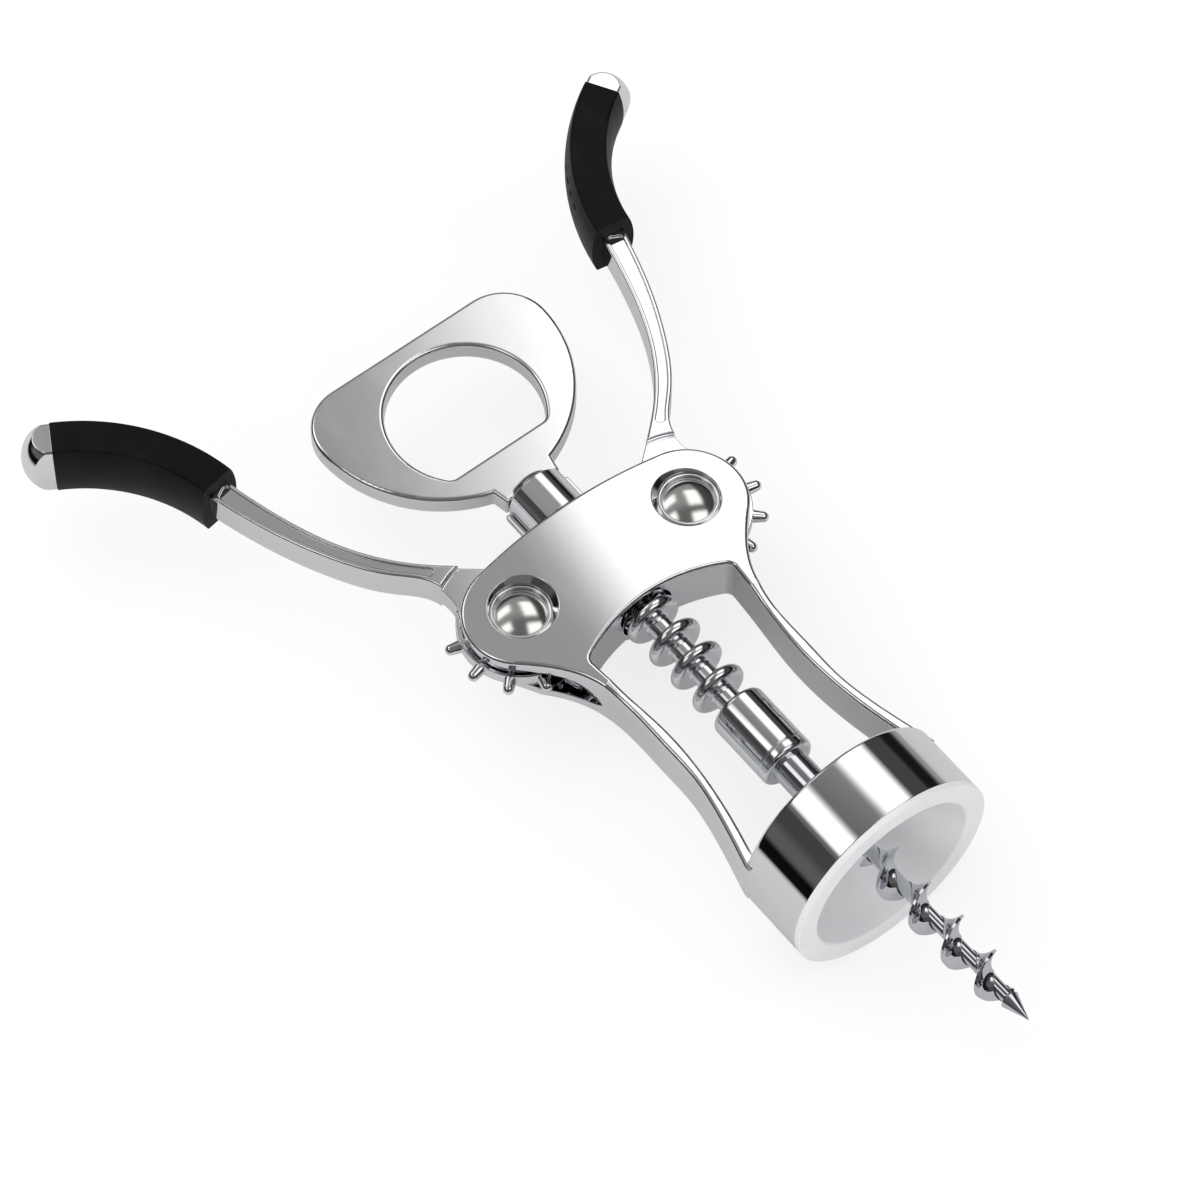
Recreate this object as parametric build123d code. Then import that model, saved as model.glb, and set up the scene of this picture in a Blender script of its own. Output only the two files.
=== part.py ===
"""Wing corkscrew: a cast frame with a bell, a turning rack spindle with its worm, and two geared levers.

Millimetres. The tool lies on its back: +X is its right, +Y runs along the worm towards the opener
handle and +Z is out of the front. The origin is the centre of the bell's mouth, on the worm's axis.
Rest is the tool with its worm fully down and both levers up.
"""

from build123d import *
import math
import os

# ---------------------------------------------------------------- clearances
RUN_CLEARANCE = 0.05
SLIDE_CLEARANCE = 0.06
FIT_CLEARANCE = 0.02
SEAT_GAP = 0.1
SWEEP_CLEARANCE = 0.25
CUT_OVERRUN = 1.0
UPRIGHT_LIMIT = 0.05

# ---------------------------------------------------------------- bell and liner
BELL_RADIUS = 20.0
BELL_HEIGHT = 14.5
BELL_WALL = 1.7
BELL_CEILING = 2.6
BELL_EDGE = 0.7
LINER_LIP = 1.1
LINER_EDGE_ROUND = 0.25
LINER_MOUTH_ROUND = 0.5
LINER_MOUTH_RADIUS = 16.0
LINER_THROAT_RADIUS = 11.0
LINER_FLOOR = 1.6
GUIDE_CLEARANCE = 0.35
GUIDE_WALL = 0.9

# ---------------------------------------------------------------- head of the frame
PIVOT_X = 18.2
PIVOT_Y = 76.0
LOBE_RADIUS = 10.3
LOBE_SHIFT = (0.1, -0.3)
LOBE_EXIT_ANGLE = 45.0
REAR_LOBE_RADIUS = 8.8
REAR_LOBE_FOOT = (22.0, 64.4)
HEAD_TOP = 87.5
HEAD_FRONT = 6.1
HEAD_REAR = 4.9
HEAD_CROWN_RADIUS = 220.0
HEAD_FRONT_ROUND = 0.6
HEAD_REAR_ROUND = 0.8
WINDOW_TOP = 64.9
WINDOW_TOP_RADIUS = 32.0
WINDOW_CORNER = 1.6
WINDOW_CORNER_SPREAD = 0.35
SLOT_HALF = 2.6
POCKET_FLOOR_X = 16.5
POCKET_POINT = (55.4, -1.2)
POCKET_FRONT_TAPER_Y = 62.5
POCKET_REAR_TAPER_Y = 59.5
BARREL_WALL = 1.05
BARREL_RISE = 7.5
BARREL_FACE_Z = -0.6
BARREL_EDGE = 0.35
SEAT_DEPTH = 0.4

# ---------------------------------------------------------------- arms of the frame
ARM_FRONT = 4.8
ARM_REAR = 4.6
ARM_STEP_TOP = 61.0
ARM_STEP_BOTTOM = 49.0
ARM_ROOT_RUN = (0.28, -1)
ARM_SHOULDER_RUN = (-0.1, -1)
ARM_WAIST_Y = 41.0
ARM_WAIST_X = 14.75
ARM_WIDTH = 2.3
ARM_ROOT_X = 18.75
ARM_SHOULDER_X = 16.2
ARM_SHOULDER_Y = 57.0

# ---------------------------------------------------------------- pivot pins, caps and washers
PIN_RADIUS = 2.5
PIN_HEAD_RADIUS = 4.65
PIN_HEAD_RISE = 1.35
PIN_HEAD_RIM = 0.35
RECESS_RADIUS = 5.35
RECESS_MOUTH_RADIUS = 6.1
RECESS_FLOOR_Z = 3.55
CUP_RISE = 0.7
CUP_BEVEL = 0.2
REAR_RECESS_DEPTH = 0.8
REAR_CAP_RIM = 0.6
REAR_CAP_RISE = 1.2
REAR_CAP_WALL = 0.7
THRUST_WASHER_RADIUS = 7.5
THRUST_WASHER_THICKNESS = 0.4

# ---------------------------------------------------------------- rack spindle
RACK_PITCH = 5.81
RACK_RADIUS = 5.2
RACK_CORE_RADIUS = 2.25
RACK_RING_THICKNESS = 2.3
RACK_FIRST_RING = 45.54
RACK_RINGS = 7
RACK_ROOT_ROUND = 0.45
SHANK_RADIUS = 3.2
COLLAR_RADIUS = 5.1
COLLAR_BOTTOM = 26.66
COLLAR_TOP = 40.75
COLLAR_ROUND = 0.9
COLLAR_FLARE_RADIUS = 3.2
COLLAR_FLARE_HEIGHT = 0.9
COLLAR_GROOVE_Y = 28.6
COLLAR_GROOVE_WIDTH = 0.3
COLLAR_GROOVE_DEPTH = 0.2
SOCKET_DEPTH = 10.0
SHANK_IN_BOSS = 9.0
LIFT_TRAVEL = 28.0

# ---------------------------------------------------------------- worm
WORM_TIP = -34.5
WORM_PITCH = 8.2
WORM_RADIUS = 3.9
WORM_CORE_RADIUS = 1.15
WORM_CREST = 0.6
WORM_FLANK_WIDTH = 1.2
WORM_ROOT_WIDTH = 3.0
WORM_ROOT_OVERLAP = 0.35
WORM_HELIX_TOP = 6.0
WORM_HELIX_BOTTOM = -29.5
WORM_START_ANGLE = 91.0
WORM_RUNOUT = 6.2
WORM_SPEAR_LENGTH = 5.4
WORM_SPEAR_RADIUS = 1.75
WORM_BARB = 0.5
ROD_RADIUS = 3.3
ROD_BOTTOM = 9.0
ROD_TAPER = 3.0
CROSS_PIN_RADIUS = 1.0
CROSS_PIN_DEPTH = 7.0
CROSS_PIN_WALL = 0.3
CROSS_PIN_SLIT = 0.3
CROSS_PIN_INSET = 0.3
HANDLE_PIN_Y = 92.5

# ---------------------------------------------------------------- opener handle and ferrule
FERRULE_RADIUS = 5.6
FERRULE_LENGTH = 8.6
FERRULE_EDGE = 0.45
BOSS_RADIUS = 4.35
BOSS_BOTTOM = 88.0
BOSS_ROUND = 1.5
PLATE_HALF_THICKNESS = 2.0
PLATE_TOP = 132.9
PLATE_HALF_WIDTH = 24.4
PLATE_CORNER_RADIUS = 9.0
PLATE_FLANK_RADIUS = 26.4
PLATE_EDGE_ROUND = 0.7
NECK_HALF_WIDTH = 6.3
NECK_FOOT_HALF_WIDTH = 5.7
HOLE_RADIUS = 14.0
HOLE_CENTRE_DROP = 17.9
HOLE_FLAT_DROP = 27.6
HOLE_CORNER = 2.0
HOLE_EDGE_ROUND = 0.7

# ---------------------------------------------------------------- levers
LEVER_REST_ANGLE = 29.6
HUB_HALF = 2.1
HUB_BORE_CLEARANCE = 0.05
HUB_BOSS_RADIUS = 9.6
GEAR_HALF = 1.15
GEAR_ROOT_RADIUS = 11.1
GEAR_TIP_RADIUS = 13.85
TOOTH_SPACING = 29.0
TOOTH_COUNT = 9
TOOTH_ROOT_HALF = 1.3
TOOTH_TIP_HALF = 0.95
LEVER_HALF = 3.2
LEVER_ARM_START = 14.6
LEVER_INNER = [(9.0, -6.9), (13.5, -5.2), (20.0, -3.0), (32.5, -1.4), (45.0, -2.9), (58.2, -6.4)]
LEVER_OUTER = [(9.0, 5.0), (12.3, 1.0), (16.6, -0.4), (23.0, 0.8), (34.5, 1.75), (46.0, 0.65), (58.2, -2.0)]
LEVER_PANEL_DEPTH = 0.35
LEVER_PANEL_START = 17.0
LEVER_PANEL_END = 57.0
LEVER_PANEL_ROUND = 0.7
LEVER_RIM = 0.75
LEVER_EDGE_ROUND = 0.35

# ---------------------------------------------------------------- grips and end caps
GRIP_START = (57.6, -4.0)
GRIP_MIDDLE = (72.0, -6.05)
GRIP_END = (87.6, -1.25)
GRIP_HALF_DEPTH = 6.0
GRIP_FACE_WIDTH = 6.3
GRIP_BULGE_WIDTH = 8.4
GRIP_EDGE_ROUND = 0.5
TANG_WIDTH = 4.0
TANG_HALF_DEPTH = 2.5
DIMPLE_COUNT = 7
DIMPLE_SPACING = 2.6
DIMPLE_HALF_LENGTH = 0.75
DIMPLE_HALF_WIDTH = 0.4
DIMPLE_DEPTH = 0.35
DIMPLE_OFFSET = 2.8
CAP_LENGTH = 5.6
CAP_SHRINK = 0.15
CAP_DOME_SPREAD = 1.2
STUD_RADIUS = 1.25
STUD_LENGTH = 7.0
STUD_IN_CAP = 3.0

# ---------------------------------------------------------------- worked out once
BORE_RADIUS = RACK_RADIUS + SLIDE_CLEARANCE
BARREL_RADIUS = FERRULE_RADIUS + SEAT_GAP + BARREL_WALL
LOBE_X = PIVOT_X + LOBE_SHIFT[0]
LOBE_Y = PIVOT_Y + LOBE_SHIFT[1]
FERRULE_SEAT = HEAD_TOP - SEAT_DEPTH
PIVOT_FRONT = HEAD_FRONT - HEAD_CROWN_RADIUS + math.sqrt(HEAD_CROWN_RADIUS**2 - PIVOT_X**2)
GEAR_SWEEP_RADIUS = GEAR_TIP_RADIUS + SWEEP_CLEARANCE
FERRULE_TOP = FERRULE_SEAT + SEAT_GAP + FERRULE_LENGTH
NECK_FOOT_Y = FERRULE_TOP + SEAT_GAP
GUIDE_RADIUS = WORM_RADIUS + GUIDE_CLEARANCE
CEILING_Y = BELL_HEIGHT - BELL_CEILING
PITCH_RADIUS = RACK_PITCH / math.radians(TOOTH_SPACING)
RINGS_BELOW_PIVOT = math.ceil((PIVOT_Y - RACK_FIRST_RING) / RACK_PITCH)
MESH_GAP_Y = RACK_FIRST_RING + RACK_PITCH * RINGS_BELOW_PIVOT - RACK_PITCH / 2
MESH_TOOTH_ANGLE = 180 - math.degrees((MESH_GAP_Y - PIVOT_Y) / PITCH_RADIUS)
LEVER_SWING = math.degrees(LIFT_TRAVEL / PITCH_RADIUS)


def mirrored(curves):
    """The curves' mirror images across the tool's middle plane, in the opposite order."""
    return [mirror(curve, Plane.YZ) for curve in reversed(curves)]


def both_sides(shape):
    """The shape and its mirror image across the tool's middle plane."""
    return shape + mirror(shape, Plane.YZ)


def spin(curves):
    """Turns a closed outline in the XY plane, at x >= 0, about the worm's axis, with its seam behind."""
    return Rot(0, 90, 0) * revolve(make_face(curves), Axis.Y)


def polygon(points):
    """The straight edges that join the points and close the outline."""
    following = points[1:] + points[:1]
    return [Line(start, end) for start, end in zip(points, following)]


def along_y(radius, low, high):
    """A cylinder on the worm's axis from y = low to y = high, with its seam behind."""
    disc = Plane.XZ.offset(-low) * Circle(radius)
    return Rot(0, 90, 0) * extrude(disc, -(high - low))


def standing(x, y, radius, low, high):
    """A cylinder along Z at (x, y) from z = low to z = high."""
    return Pos(x, y, low) * extrude(Circle(radius), high - low)


def slab(face, low, high):
    """A face in the XY plane given the depth from z = low to z = high."""
    return Pos(0, 0, low) * extrude(face, high - low)


# ================================================================ frame
def top_arc_radius():
    """Radius of the head's top arc, which is centred on x = 0 and runs tangent into both lobes."""
    rise = HEAD_TOP - LOBE_Y
    return (LOBE_X**2 + rise**2 - LOBE_RADIUS**2) / (2 * (rise - LOBE_RADIUS))


def lobe_point(angle):
    """The point of the right lobe at an angle from +X, in degrees."""
    turn = math.radians(angle)
    return (LOBE_X + LOBE_RADIUS * math.cos(turn), LOBE_Y + LOBE_RADIUS * math.sin(turn))


def arm_edge(offset):
    """Points down one edge of the right arm, offset outwards from its middle line."""
    return [
        (ARM_SHOULDER_X + offset, ARM_SHOULDER_Y),
        (ARM_WAIST_X + offset, ARM_WAIST_Y),
        (ARM_ROOT_X + offset, BELL_HEIGHT),
    ]


def frame_outline():
    """The front view of head and arms, without the window between the arms."""
    centre_y = HEAD_TOP - top_arc_radius()
    top_angle = math.degrees(math.atan2(LOBE_Y - centre_y, LOBE_X))
    top_join = lobe_point(top_angle)
    exit_point = lobe_point(-LOBE_EXIT_ANGLE)
    leave = math.radians(LOBE_EXIT_ANGLE)
    shoulder, waist, root = arm_edge(ARM_WIDTH / 2)
    foot = (root[0], (BELL_HEIGHT + CEILING_Y) / 2)
    right = [
        ThreePointArc(top_join, lobe_point((top_angle - LOBE_EXIT_ANGLE) / 2), exit_point),
        Spline(
            [exit_point, shoulder, waist, root],
            tangents=[(-math.sin(leave), -math.cos(leave)), ARM_ROOT_RUN],
        ),
        Line(root, foot),
    ]
    top = ThreePointArc((-top_join[0], top_join[1]), (0, HEAD_TOP), top_join)
    base = Line(foot, (-foot[0], foot[1]))
    return make_face([top] + right + [base] + mirrored(right))


def window_outline():
    """The opening between the arms, which the spindle crosses."""
    shoulder, waist, root = arm_edge(-ARM_WIDTH / 2)
    corner_x = shoulder[0] + WINDOW_CORNER_SPREAD
    drop = WINDOW_TOP_RADIUS - math.sqrt(WINDOW_TOP_RADIUS**2 - corner_x**2)
    corner = (corner_x, WINDOW_TOP - drop)
    top = ThreePointArc((-corner[0], corner[1]), (0, WINDOW_TOP), corner)
    foot = (root[0], CEILING_Y)
    right = [
        Spline([corner, shoulder, waist, root], tangents=[ARM_SHOULDER_RUN, ARM_ROOT_RUN]),
        Line(root, foot),
    ]
    base = Line(foot, (-foot[0], foot[1]))
    face = make_face([top] + right + [base] + mirrored(right))
    corners = face.vertices().filter_by(lambda v: abs(v.Y - corner[1]) < FIT_CLEARANCE)
    return fillet(corners, WINDOW_CORNER)


def depth_envelope():
    """The side view of head and arms: the head stands a little deeper than the arms."""
    far = HEAD_TOP + BARREL_RISE
    front_step = Spline(
        [(ARM_STEP_TOP, HEAD_FRONT), (ARM_STEP_BOTTOM, ARM_FRONT)],
        tangents=[(-1, 0), (-1, 0)],
    )
    rear_step = Spline(
        [(ARM_STEP_BOTTOM, -ARM_REAR), (ARM_STEP_TOP, -HEAD_REAR)],
        tangents=[(1, 0), (1, 0)],
    )
    side = [
        Line((far, HEAD_FRONT), (ARM_STEP_TOP, HEAD_FRONT)),
        front_step,
        Line((ARM_STEP_BOTTOM, ARM_FRONT), (CEILING_Y, ARM_FRONT)),
        Line((CEILING_Y, ARM_FRONT), (CEILING_Y, -ARM_REAR)),
        Line((CEILING_Y, -ARM_REAR), (ARM_STEP_BOTTOM, -ARM_REAR)),
        rear_step,
        Line((ARM_STEP_TOP, -HEAD_REAR), (far, -HEAD_REAR)),
        Line((far, -HEAD_REAR), (far, HEAD_FRONT)),
    ]
    block = extrude(Plane.YZ * make_face(side), 2 * BELL_RADIUS, both=True)
    crown = Plane.XZ.offset(-CEILING_Y) * Pos(0, HEAD_FRONT - HEAD_CROWN_RADIUS) * Circle(HEAD_CROWN_RADIUS)
    return block & extrude(crown, CEILING_Y - far)


def rim_edges(body, low, high):
    """The edges that bound the upright walls of head and arms, with their middles from z = low to high."""
    walls = body.faces().filter_by(lambda face: abs(face.normal_at().Z) < UPRIGHT_LIMIT)
    flat = walls.edges().filter_by(lambda edge: edge.bounding_box().size.Z < HEAD_FRONT / 2)
    above = flat.filter_by(lambda edge: edge.center().Y > BELL_HEIGHT + SEAT_GAP)
    return above.filter_by(lambda edge: low < edge.center().Z < high)


def rear_trim():
    """What is cut from behind the slot, so that the head's rear plate has the smaller lobes."""
    foot_x, foot_y = REAR_LOBE_FOOT
    lobe = Pos(LOBE_X, LOBE_Y) * Circle(REAR_LOBE_RADIUS)
    bounds = both_sides(lobe).edges() + Line((-foot_x, foot_y), (foot_x, foot_y)).edges()
    below = Pos(0, foot_y - HEAD_TOP / 2) * Rectangle(4 * foot_x, HEAD_TOP)
    return slab(frame_outline() - make_hull(bounds) - below, -2 * HEAD_REAR, -SLOT_HALF)


def head_and_arms():
    """The upper casting with its rounded front and rear edges."""
    plate = slab(frame_outline() - window_outline(), -2 * HEAD_REAR, 2 * HEAD_FRONT) & depth_envelope()
    plate -= rear_trim()
    plate = fillet(rim_edges(plate, -2 * HEAD_REAR, -SLOT_HALF - SEAT_GAP), HEAD_REAR_ROUND)
    return fillet(rim_edges(plate, 0, HEAD_FRONT), HEAD_FRONT_ROUND)


def barrel():
    """The half-round housing behind the head, round the rack's bore and the ferrule's seat."""
    low = WINDOW_TOP
    tube = along_y(BARREL_RADIUS, low, HEAD_TOP + BARREL_RISE)
    rims = tube.edges().filter_by(GeomType.CIRCLE)
    tube = fillet(rims, BARREL_EDGE)
    behind = Pos(0, (low + HEAD_TOP + BARREL_RISE) / 2, BARREL_FACE_Z - BARREL_RADIUS)
    return tube & behind * Box(2 * BARREL_RADIUS, HEAD_TOP + BARREL_RISE - low, 2 * BARREL_RADIUS)


def bell_shell():
    """The chrome cup that sits over the bottle's neck."""
    shell = along_y(BELL_RADIUS, LINER_LIP, BELL_HEIGHT)
    rim = shell.edges().filter_by(GeomType.CIRCLE).sort_by(Axis.Y)[-1]
    shell = fillet(rim, BELL_EDGE)
    shell -= along_y(BELL_RADIUS - BELL_WALL, 0, CEILING_Y)
    return shell - along_y(GUIDE_RADIUS + GUIDE_WALL, 0, 2 * BELL_HEIGHT)


def gear_room():
    """What is cut from the head so that one lever's gear and root can swing, on the right side."""
    disc = standing(PIVOT_X, PIVOT_Y, GEAR_SWEEP_RADIUS, -SLOT_HALF, SLOT_HALF)
    front = (POCKET_FRONT_TAPER_Y, SLOT_HALF)
    rear = (POCKET_REAR_TAPER_Y, -SLOT_HALF)
    top = LOBE_Y - LOBE_RADIUS
    side = make_face([
        TangentArc(front, POCKET_POINT, tangent=(-1, 0)),
        TangentArc(rear, POCKET_POINT, tangent=(-1, 0)),
        Line(rear, (top, -SLOT_HALF)),
        Line((top, -SLOT_HALF), (top, SLOT_HALF)),
        Line((top, SLOT_HALF), front),
    ])
    return disc + extrude(Plane.YZ.offset(POCKET_FLOOR_X) * side, GEAR_SWEEP_RADIUS)


def pin_room():
    """The pivot's bore with its front and rear recesses, on the right side."""
    bevel = RECESS_MOUTH_RADIUS - RECESS_RADIUS
    mouth = Pos(PIVOT_X, PIVOT_Y, PIVOT_FRONT) * Cone(RECESS_RADIUS, RECESS_RADIUS + 2 * bevel, 2 * bevel)
    return (
        standing(PIVOT_X, PIVOT_Y, PIN_RADIUS + FIT_CLEARANCE, -2 * HEAD_REAR, 2 * HEAD_FRONT)
        + standing(PIVOT_X, PIVOT_Y, RECESS_RADIUS, RECESS_FLOOR_Z, 2 * HEAD_FRONT)
        + standing(PIVOT_X, PIVOT_Y, RECESS_RADIUS, -2 * HEAD_REAR, REAR_RECESS_DEPTH - HEAD_REAR)
        + mouth
    )


def spindle_room():
    """The rack's bore through the head, with the counterbore that seats the ferrule."""
    bore = along_y(BORE_RADIUS, ARM_STEP_BOTTOM, HEAD_TOP + 2 * BARREL_RISE)
    return bore + along_y(FERRULE_RADIUS + SEAT_GAP, FERRULE_SEAT, HEAD_TOP + 2 * BARREL_RISE)


def frame():
    """The casting: head, two arms and bell in one piece."""
    body = head_and_arms() + barrel() + bell_shell()
    return body - both_sides(gear_room() + pin_room()) - spindle_room()


def bell_liner():
    """The plastic cup inside the bell, with its lip over the bell's rim and the worm's guide hole."""
    outer = BELL_RADIUS - BELL_WALL - FIT_CLEARANCE
    floor = CEILING_Y - FIT_CLEARANCE
    guide_top = BELL_HEIGHT - BELL_EDGE
    guide_outer = GUIDE_RADIUS + GUIDE_WALL - FIT_CLEARANCE
    profile = polygon([
        (LINER_MOUTH_RADIUS, 0),
        (BELL_RADIUS, 0),
        (BELL_RADIUS, LINER_LIP),
        (outer, LINER_LIP),
        (outer, floor),
        (guide_outer, floor),
        (guide_outer, guide_top),
        (GUIDE_RADIUS, guide_top),
        (GUIDE_RADIUS, floor - LINER_FLOOR),
        (LINER_THROAT_RADIUS, floor - LINER_FLOOR),
    ])
    liner = spin(profile)
    lip = liner.edges().filter_by(GeomType.CIRCLE).filter_by(lambda edge: edge.center().Y < FIT_CLEARANCE)
    inner, outer = lip.sort_by(lambda edge: edge.radius)
    liner = fillet(inner, LINER_MOUTH_ROUND)
    lip = liner.edges().filter_by(GeomType.CIRCLE).filter_by(lambda edge: edge.center().Y < FIT_CLEARANCE)
    return fillet(lip.sort_by(lambda edge: edge.radius)[-1], LINER_EDGE_ROUND)


# ================================================================ pivots
def domed_disc(radius, rim, rise):
    """A button on z = 0: a short upright rim under a dome."""
    half = [
        Line((0, 0), (radius, 0)),
        Line((radius, 0), (radius, rim)),
        ThreePointArc((radius, rim), dome_middle(radius, rim, rise), (0, rim + rise)),
        Line((0, rim + rise), (0, 0)),
    ]
    return revolve(Plane.XZ * make_face(half), Axis.Z)


def dome_middle(radius, rim, rise):
    """A point on the dome's arc, half-way up by angle, between its rim and its top."""
    sphere = (radius**2 + rise**2) / (2 * rise)
    half_angle = math.asin(radius / sphere) / 2
    return (sphere * math.sin(half_angle), rim + rise - sphere + sphere * math.cos(half_angle))


def pivot_pin():
    """The right pivot: a plain shaft under a domed head."""
    head = Pos(PIVOT_X, PIVOT_Y, RECESS_FLOOR_Z) * domed_disc(PIN_HEAD_RADIUS, PIN_HEAD_RIM, PIN_HEAD_RISE)
    return head + standing(PIVOT_X, PIVOT_Y, PIN_RADIUS, REAR_CAP_WALL - HEAD_REAR, RECESS_FLOOR_Z)


def rear_cap():
    """The domed cap pressed on the right pin's rear end."""
    seat = REAR_RECESS_DEPTH - HEAD_REAR
    cap = domed_disc(PIN_HEAD_RADIUS, REAR_CAP_RIM + REAR_RECESS_DEPTH, REAR_CAP_RISE)
    cap = Pos(PIVOT_X, PIVOT_Y, seat) * Rot(180, 0, 0) * cap
    return cap - standing(PIVOT_X, PIVOT_Y, PIN_RADIUS + FIT_CLEARANCE, REAR_CAP_WALL - HEAD_REAR, HEAD_REAR)


def pin_cup():
    """The right recess's bright ring, round the pin's head."""
    outer = RECESS_RADIUS - FIT_CLEARANCE
    inner = PIN_HEAD_RADIUS + FIT_CLEARANCE
    ring = standing(PIVOT_X, PIVOT_Y, outer, RECESS_FLOOR_Z, RECESS_FLOOR_Z + CUP_RISE)
    ring -= standing(PIVOT_X, PIVOT_Y, inner, 0, HEAD_FRONT)
    return chamfer(ring.edges().filter_by(GeomType.CIRCLE).group_by(Axis.Z)[-1], CUP_BEVEL)


def thrust_washers():
    """The plastic washers above and below the right lever's hub, as two solids."""
    low = HUB_HALF + RUN_CLEARANCE
    washer = standing(PIVOT_X, PIVOT_Y, THRUST_WASHER_RADIUS, low, low + THRUST_WASHER_THICKNESS)
    washer -= standing(PIVOT_X, PIVOT_Y, PIN_RADIUS + RUN_CLEARANCE, 0, HEAD_FRONT)
    return Compound([washer.solid(), mirror(washer, Plane.XY).solid()])


# ================================================================ spindle
def rack_ring(y):
    """One ring of the rack with its full-round crest and its rounded root."""
    half = RACK_RING_THICKNESS / 2
    crest = RACK_RADIUS - half
    root = RACK_CORE_RADIUS + RACK_ROOT_ROUND
    foot = half + RACK_ROOT_ROUND
    lean = RACK_ROOT_ROUND * math.sqrt(0.5)
    elbow_x = root - lean
    elbow_y = foot - lean
    return spin([
        Line((0, y - foot), (RACK_CORE_RADIUS, y - foot)),
        ThreePointArc((RACK_CORE_RADIUS, y - foot), (elbow_x, y - elbow_y), (root, y - half)),
        Line((root, y - half), (crest, y - half)),
        ThreePointArc((crest, y - half), (RACK_RADIUS, y), (crest, y + half)),
        Line((crest, y + half), (root, y + half)),
        ThreePointArc((root, y + half), (elbow_x, y + elbow_y), (RACK_CORE_RADIUS, y + foot)),
        Line((RACK_CORE_RADIUS, y + foot), (0, y + foot)),
        Line((0, y + foot), (0, y - foot)),
    ])


def collar():
    """The plain barrel under the rack, which holds the worm's rod."""
    body = along_y(COLLAR_RADIUS, COLLAR_BOTTOM, COLLAR_TOP)
    body = fillet(body.edges().filter_by(GeomType.CIRCLE), COLLAR_ROUND)
    flare_top = COLLAR_TOP + COLLAR_FLARE_HEIGHT
    flare = spin(polygon([
        (0, COLLAR_TOP - COLLAR_ROUND),
        (COLLAR_FLARE_RADIUS, COLLAR_TOP - COLLAR_ROUND),
        (COLLAR_FLARE_RADIUS, COLLAR_TOP),
        (RACK_CORE_RADIUS, flare_top),
        (0, flare_top),
    ]))
    groove_top = COLLAR_GROOVE_Y + COLLAR_GROOVE_WIDTH
    groove = along_y(2 * COLLAR_RADIUS, COLLAR_GROOVE_Y, groove_top)
    groove -= along_y(COLLAR_RADIUS - COLLAR_GROOVE_DEPTH, COLLAR_GROOVE_Y, groove_top)
    return body + flare - groove


def rack_spindle():
    """The rack's core and rings, the collar below and the plain shank above."""
    last_ring = RACK_FIRST_RING + RACK_PITCH * (RACK_RINGS - 1)
    body = collar() + along_y(RACK_CORE_RADIUS, COLLAR_TOP, last_ring)
    for index in range(RACK_RINGS):
        body += rack_ring(RACK_FIRST_RING + RACK_PITCH * index)
    body += along_y(SHANK_RADIUS, last_ring, BOSS_BOTTOM + SHANK_IN_BOSS)
    body -= along_y(ROD_RADIUS + FIT_CLEARANCE, COLLAR_BOTTOM - COLLAR_ROUND, COLLAR_BOTTOM + SOCKET_DEPTH)
    body -= worm_pin_hole()
    return body - handle_pin_hole()


def pin_along_z(y, radius, low, high):
    """A cylinder across the spindle at height y, from z = low to z = high."""
    return standing(0, y, radius, low, high)


def worm_pin_hole():
    """The blind hole from the rear through the collar's wall into the worm's rod."""
    y = COLLAR_BOTTOM + SOCKET_DEPTH / 2
    return pin_along_z(y, CROSS_PIN_RADIUS, -2 * COLLAR_RADIUS, CROSS_PIN_DEPTH - COLLAR_RADIUS)


def handle_pin_hole():
    """The hole right through the handle's boss and the rack spindle's shank."""
    return pin_along_z(HANDLE_PIN_Y, CROSS_PIN_RADIUS, -2 * BOSS_RADIUS, 2 * BOSS_RADIUS)


def hollow_pin(y, low, high):
    """A rolled spring pin across the spindle, with its bore and its slit."""
    outer = CROSS_PIN_RADIUS - FIT_CLEARANCE
    pin = pin_along_z(y, outer, low, high) - pin_along_z(y, outer - CROSS_PIN_WALL, low, high)
    slit = Pos(outer, y, (low + high) / 2) * Box(2 * outer, CROSS_PIN_SLIT, 2 * (high - low))
    return pin - slit


def worm_pin():
    """The spring pin that holds the worm's rod in the collar."""
    y = COLLAR_BOTTOM + SOCKET_DEPTH / 2
    return hollow_pin(y, CROSS_PIN_INSET - COLLAR_RADIUS, CROSS_PIN_DEPTH - COLLAR_RADIUS - FIT_CLEARANCE)


def handle_pin():
    """The spring pin that holds the opener handle on the rack spindle, under the ferrule."""
    reach = BOSS_RADIUS - CROSS_PIN_INSET
    return hollow_pin(HANDLE_PIN_Y, -reach, reach)


def worm_envelope():
    """The solid of revolution that trims the worm's thread: full below the rod, closing on the core."""
    top = WORM_HELIX_TOP + WORM_PITCH
    low = WORM_HELIX_BOTTOM + SEAT_GAP
    return spin([
        Line((0, top), (WORM_RADIUS, top)),
        Line((WORM_RADIUS, top), (WORM_RADIUS, low + WORM_RUNOUT)),
        TangentArc((WORM_RADIUS, low + WORM_RUNOUT), (WORM_CORE_RADIUS, low), tangent=(0, -1)),
        Line((WORM_CORE_RADIUS, low), (0, low)),
        Line((0, low), (0, top)),
    ])


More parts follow.
